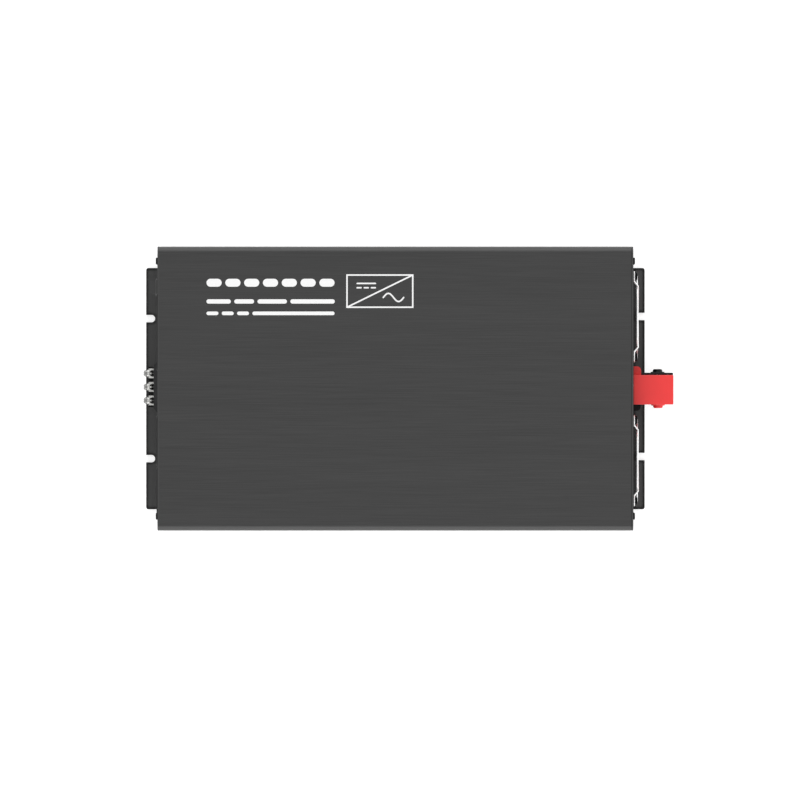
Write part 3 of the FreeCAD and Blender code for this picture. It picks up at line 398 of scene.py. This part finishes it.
class Print:
    """Ink on the side of a CAD node that faces out: lines of a given width, laid on its surface.

    Marks are drawn along two axes, right and up, in millimetres from the origin, as someone who
    faces the surface sees them."""

    def __init__(self, node, origin, right, up):
        mesh = frame["nodes"][node].data
        points = [vertex.co for vertex in mesh.vertices]
        self.surface = BVHTree.FromPolygons(points, [face.vertices for face in mesh.polygons])
        self.origin, self.right, self.up = Vector(origin), Vector(right), Vector(up)
        self.out = self.right.cross(self.up)
        self.points, self.faces, self.lines = [], [], 0

    def on_surface(self, u, v):
        start = self.origin + (self.right * u + self.up * v + self.out * 20) * MM
        hit = self.surface.ray_cast(start, -self.out)[0]
        if hit is None:
            raise ValueError("a printed mark misses the surface it is for")
        return hit

    def line(self, path, width, closed=False):
        """A line of ink along a path of (u, v) points; open ends are rounded."""
        path = [Vector(point) for point in path]
        rows = []
        for i, here in enumerate(path):
            before = path[i - 1] if closed or i > 0 else None
            after = path[(i + 1) % len(path)] if closed or i < len(path) - 1 else None
            coming = (here - before).normalized() if before else (after - here).normalized()
            going = (after - here).normalized() if after else coming
            across = Vector((-(coming + going).y, (coming + going).x)).normalized()
            reach = width / 2 / max(0.4, across.dot(Vector((-going.y, going.x))))
            rows.append((here + across * reach, here - across * reach))
        if not closed:
            rows = self.cap(rows[0])[::-1] + rows + self.cap(rows[-1][::-1], last=True)
        self.strip(rows, closed)

    def cap(self, row, last=False):
        """Rows that narrow to a rounded end beyond a row."""
        left, right = row
        centre, across = (left + right) / 2, (left - right) / 2
        beyond = Vector((-across.y, across.x))
        rows = []
        for step in range(1, CAP_STEPS):
            turn = math.radians(CAP_TURN) * step / (CAP_STEPS - 1)
            side = across * math.cos(turn)
            tip = centre + beyond * math.sin(turn)
            rows.append((tip - side, tip + side) if last else (tip + side, tip - side))
        return rows

    def strip(self, rows, closed):
        """Closed thin solid over rows of point pairs."""
        first = len(self.points)
        lift = INK_LIFT + INK_STEP * (self.lines % 2)
        self.lines += 1
        for left, right in rows:
            for point in (left, right):
                hit = self.on_surface(*point)
                self.points += [hit + self.out * lift, hit - self.out * INK_SINK]
        count = len(rows)
        for i in range(count if closed else count - 1):
            a, b = first + 4 * i, first + 4 * ((i + 1) % count)
            for p, q in ((0, 2), (2, 3), (3, 1), (1, 0)):
                self.faces.append((a + p, a + q, b + q, b + p))
        if not closed:
            self.faces.append((first, first + 1, first + 3, first + 2))
            end = first + 4 * (count - 1)
            self.faces.append((end, end + 2, end + 3, end + 1))

    def bar(self, u0, u1, v, height):
        """A solid bar with rounded ends."""
        inset = height / 2
        self.line([(u0 + inset, v), (u1 - inset, v)], height)

    def outline(self, left, low, right, high, pen):
        """Four joined lines."""
        self.line([(left, low), (right, low), (right, high), (left, high)], pen, closed=True)

    def piece(self, name, material, body="case"):
        """Makes the ink drawn so far into a piece that rides on a body."""
        mesh = bpy.data.meshes.new(name)
        mesh.from_pydata(self.points, [], self.faces)
        mesh.materials.append(material)
        mesh.update()
        piece = bpy.data.objects.new(name, mesh)
        bpy.context.scene.collection.objects.link(piece)
        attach(piece, body)


def ring(u, v, radius, steps=48):
    turns = [math.radians(360 * i / steps) for i in range(steps)]
    return [(u + radius * math.cos(t), v + radius * math.sin(t)) for t in turns]


def wave(u, v, length, rise, steps=32):
    """One period of a sine, centred."""
    parts = [i / steps for i in range(steps + 1)]
    return [(u + length * (part - 0.5), v + rise * math.sin(math.tau * part)) for part in parts]


def roof_print():
    """A standard converter symbol, and plain bars where a maker would print its text."""
    from_end, from_side = 42 * MM, 32 * MM
    corner = (SHELL_LOW.x + from_end, SHELL_HIGH.y - from_side, ROOF_Z)
    art = Print("upper_shell", corner, (1, 0, 0), (0, 1, 0))
    rows = (                     # v, height, gap, lengths in order
        (0.0, 7.0, 3.2, (13.4,) * 7),
        (-16.5, 3.8, 3.0, (21.5, 17.5, 26.0, 39.2)),
        (-27.0, 3.2, 3.0, (10.5, 10.5, 10.5, 72.5)),
    )
    for v, height, gap, lengths in rows:
        u = 0.0
        for length in lengths:
            art.bar(u, u + length, v, height)
            u += length + gap
    left, right, low, high, pen = 124.0, 182.0, -21.6, 6.8, 1.3
    art.outline(left, low, right, high, pen)
    art.line([(left, low), (right, high)], pen)
    whole, dashed, dash, pitch = high - 7.4, high - 11.2, 3.4, 6.3
    art.line([(left + 9, whole), (left + 25, whole)], pen)
    for i in range(3):
        start = left + 9 + pitch * i
        art.line([(start, dashed), (start + dash, dashed)], pen)
    art.line(wave(right - 17, low + 8.6, 18, 3.6), pen)
    art.piece("roof_print", WHITE_INK)


def rocker_marks():
    """The usual line and circle on the rocker's two halves."""
    at = middle("switch_rocker")
    art = Print("switch_rocker", (at.x, at.y, at.z), (0, -1, 0), (0, 0, 1))
    art.line([(0, 3.0), (0, 5.8)], 0.8)
    art.line(ring(0, -4.4, 1.5), 0.65, closed=True)
    art.piece("rocker_marks", WHITE_INK, "rocker")


def polarity_marks():
    """Plus and minus above the battery terminals."""
    positive, negative = "positive_terminal_cover", "negative_terminal_cover"
    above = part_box(positive)[1].z + 6.4 * MM
    art = Print("rear_panel", (REAR_X, 0, above), (0, 1, 0), (0, 0, 1))
    size, pen = 3.0, 1.5
    centre = middle(positive).y / MM
    art.line([(centre - size, 0), (centre + size, 0)], pen)
    art.line([(centre, -size), (centre, size)], pen)
    drop = (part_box(negative)[1].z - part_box(positive)[1].z) / MM
    centre = middle(negative).y / MM
    art.line([(centre - size, drop), (centre + size, drop)], pen)
    art.piece("polarity_marks", WHITE_INK)


def mains_marks():
    """Alternating current and protective earth signs over the mains terminals."""
    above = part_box("mains_block")[1].z + 5.2 * MM
    art = Print("front_panel", (FRONT_X, 0, above), (0, -1, 0), (0, 0, 1))
    pen = 0.6
    phase = -(middle("live_screw").y + middle("neutral_screw").y) / 2 / MM
    art.line(wave(phase, 0, 6.4, 1.3), pen)
    earth = -middle("earth_screw").y / MM
    art.line([(earth, 2.5), (earth, 0.4)], pen)
    for half, v in ((2.2, 0.0), (1.4, -1.0), (0.6, -2.0)):
        art.line([(earth - half, v), (earth + half, v)], pen)
    art.piece("mains_marks", WHITE_INK)


# which of the seven segments each numeral in use lights
SEGMENTS = {"0": "abcdef", "1": "bc", "2": "abdeg", "5": "acdfg", "8": "abcdefg"}


def numerals(art, text, u, v, height, pen):
    """Seven-segment numerals from u to the right, standing on v."""
    width, half = height * 0.52, height / 2
    gap = pen * 0.75
    ends = {
        "a": ((gap, height), (width - gap, height)),
        "b": ((width, height - gap), (width, half + gap)),
        "c": ((width, half - gap), (width, gap)),
        "d": ((gap, 0), (width - gap, 0)),
        "e": ((0, half - gap), (0, gap)),
        "f": ((0, height - gap), (0, half + gap)),
        "g": ((gap, half), (width - gap, half)),
    }
    for character in text:
        if character == ".":
            point = u - pen * 0.9
            art.line([(point, v - 0.01), (point + 0.05, v)], pen)
            u += pen * 1.2
            continue
        for segment in SEGMENTS[character]:
            art.line([(u + x, v + y) for x, y in ends[segment]], pen)
        u += width + pen * 2.6


def display_marks():
    """Readings on the display: mains volts, battery volts, mains cycles, and two gauges."""
    at, face = middle("display_window"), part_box("display_module")[0].x
    art = Print("display_module", (face, at.y, at.z), (0, -1, 0), (0, 0, 1))
    half_width, half_height = 26.7, 13.7
    art.outline(-half_width, -half_height, half_width, half_height, 1.6)
    numerals(art, "220", -23.0, -1.5, 11.0, 1.1)
    numerals(art, "12.8", 6.5, 3.0, 6.5, 0.75)
    numerals(art, "50.0", -23.0, -10.2, 4.6, 0.6)
    for i in range(6):           # load: bars that rise to the right
        u = -7.0 + 2.3 * i
        art.line([(u, -9.8), (u, -9.0 + 0.75 * i)], 1.3)
    art.outline(9.0, -10.4, 20.4, -4.8, 0.55)
    art.line([(21.5, -6.9), (21.5, -8.3)], 0.7)
    for i in range(4):           # charge: bars in the battery's outline
        u = 11.0 + 2.5 * i
        art.line([(u, -6.6), (u, -8.6)], 1.5)
    art.piece("display_marks", CELL_INK)


roof_print()
rocker_marks()
polarity_marks()
mains_marks()
display_marks()


# ================================================================ stage
def stage():
    """Pale floor, soft lights overhead, at the long sides and at the battery end, and a pale world
    that is a little brighter at the horizon."""
    mesh = bpy.data.meshes.new("floor")
    reach, below_base = 12.0, 0.4 * MM
    corners = [(-reach, -reach, 0), (reach, -reach, 0), (reach, reach, 0), (-reach, reach, 0)]
    mesh.from_pydata(corners, [], [(0, 1, 2, 3)])
    floor = bpy.data.objects.new("floor", mesh)
    floor.location.z = -below_base
    bpy.context.scene.collection.objects.link(floor)
    mesh.materials.append(floor_paper())

    world = bpy.data.worlds.new("studio")
    world.use_nodes = True
    tree = world.node_tree
    rise = tree.nodes.new("ShaderNodeSeparateXYZ")
    tree.links.new(tree.nodes.new("ShaderNodeTexCoord").outputs["Generated"], rise.inputs[0])
    glow = tree.nodes.new("ShaderNodeMapRange")
    for key, value in (("From Min", 0.0), ("From Max", 0.8), ("To Min", 1.15), ("To Max", 0.85)):
        glow.inputs[key].default_value = value
    tree.links.new(rise.outputs["Z"], glow.inputs["Value"])
    background = tree.nodes["Background"]
    background.inputs["Color"].default_value = (1, 1, 1, 1)
    tree.links.new(glow.outputs[0], background.inputs["Strength"])
    bpy.context.scene.world = world

    lamps = (                    # name, place, width, height, watts
        ("overhead", (0.5, -0.4, 2.4), 2.0, 2.0, 3),
        ("near_side", (0.0, -1.3, 0.42), 1.8, 0.8, 6.5),
        ("far_side", (0.0, 1.3, 0.42), 1.8, 0.8, 6.5),
        ("battery_end", (1.3, 0.0, 0.5), 1.0, 0.6, 1.0),
    )
    for name, place, width, height, watts in lamps:
        light = bpy.data.lights.new(name, "AREA")
        light.shape = "RECTANGLE"
        light.size, light.size_y = width, height
        light.energy = watts
        lamp = bpy.data.objects.new(name, light)
        lamp.location = place
        lamp.rotation_euler = (-Vector(place)).to_track_quat("-Z", "Y").to_euler()
        lamp.visible_camera = False
        bpy.context.scene.collection.objects.link(lamp)


def camera():
    """Straight down, from far enough off to look flat; the case fills three fifths of the frame."""
    frame_width = 705.9 * MM                     # at the height of the roof
    over_x, over_y = 4.06 * MM, -10.07 * MM      # the point at the middle of the frame
    data = bpy.data.cameras.new("camera")
    data.lens, data.sensor_width = 1500.0, 36.0
    data.clip_start, data.clip_end = 1.0, 60.0
    cam = bpy.data.objects.new("camera", data)
    cam.location = (over_x, over_y, ROOF_Z + frame_width * data.lens / data.sensor_width)
    bpy.context.scene.collection.objects.link(cam)
    bpy.context.scene.camera = cam


stage()
camera()
bpy.context.scene.view_settings.view_transform = "Standard"
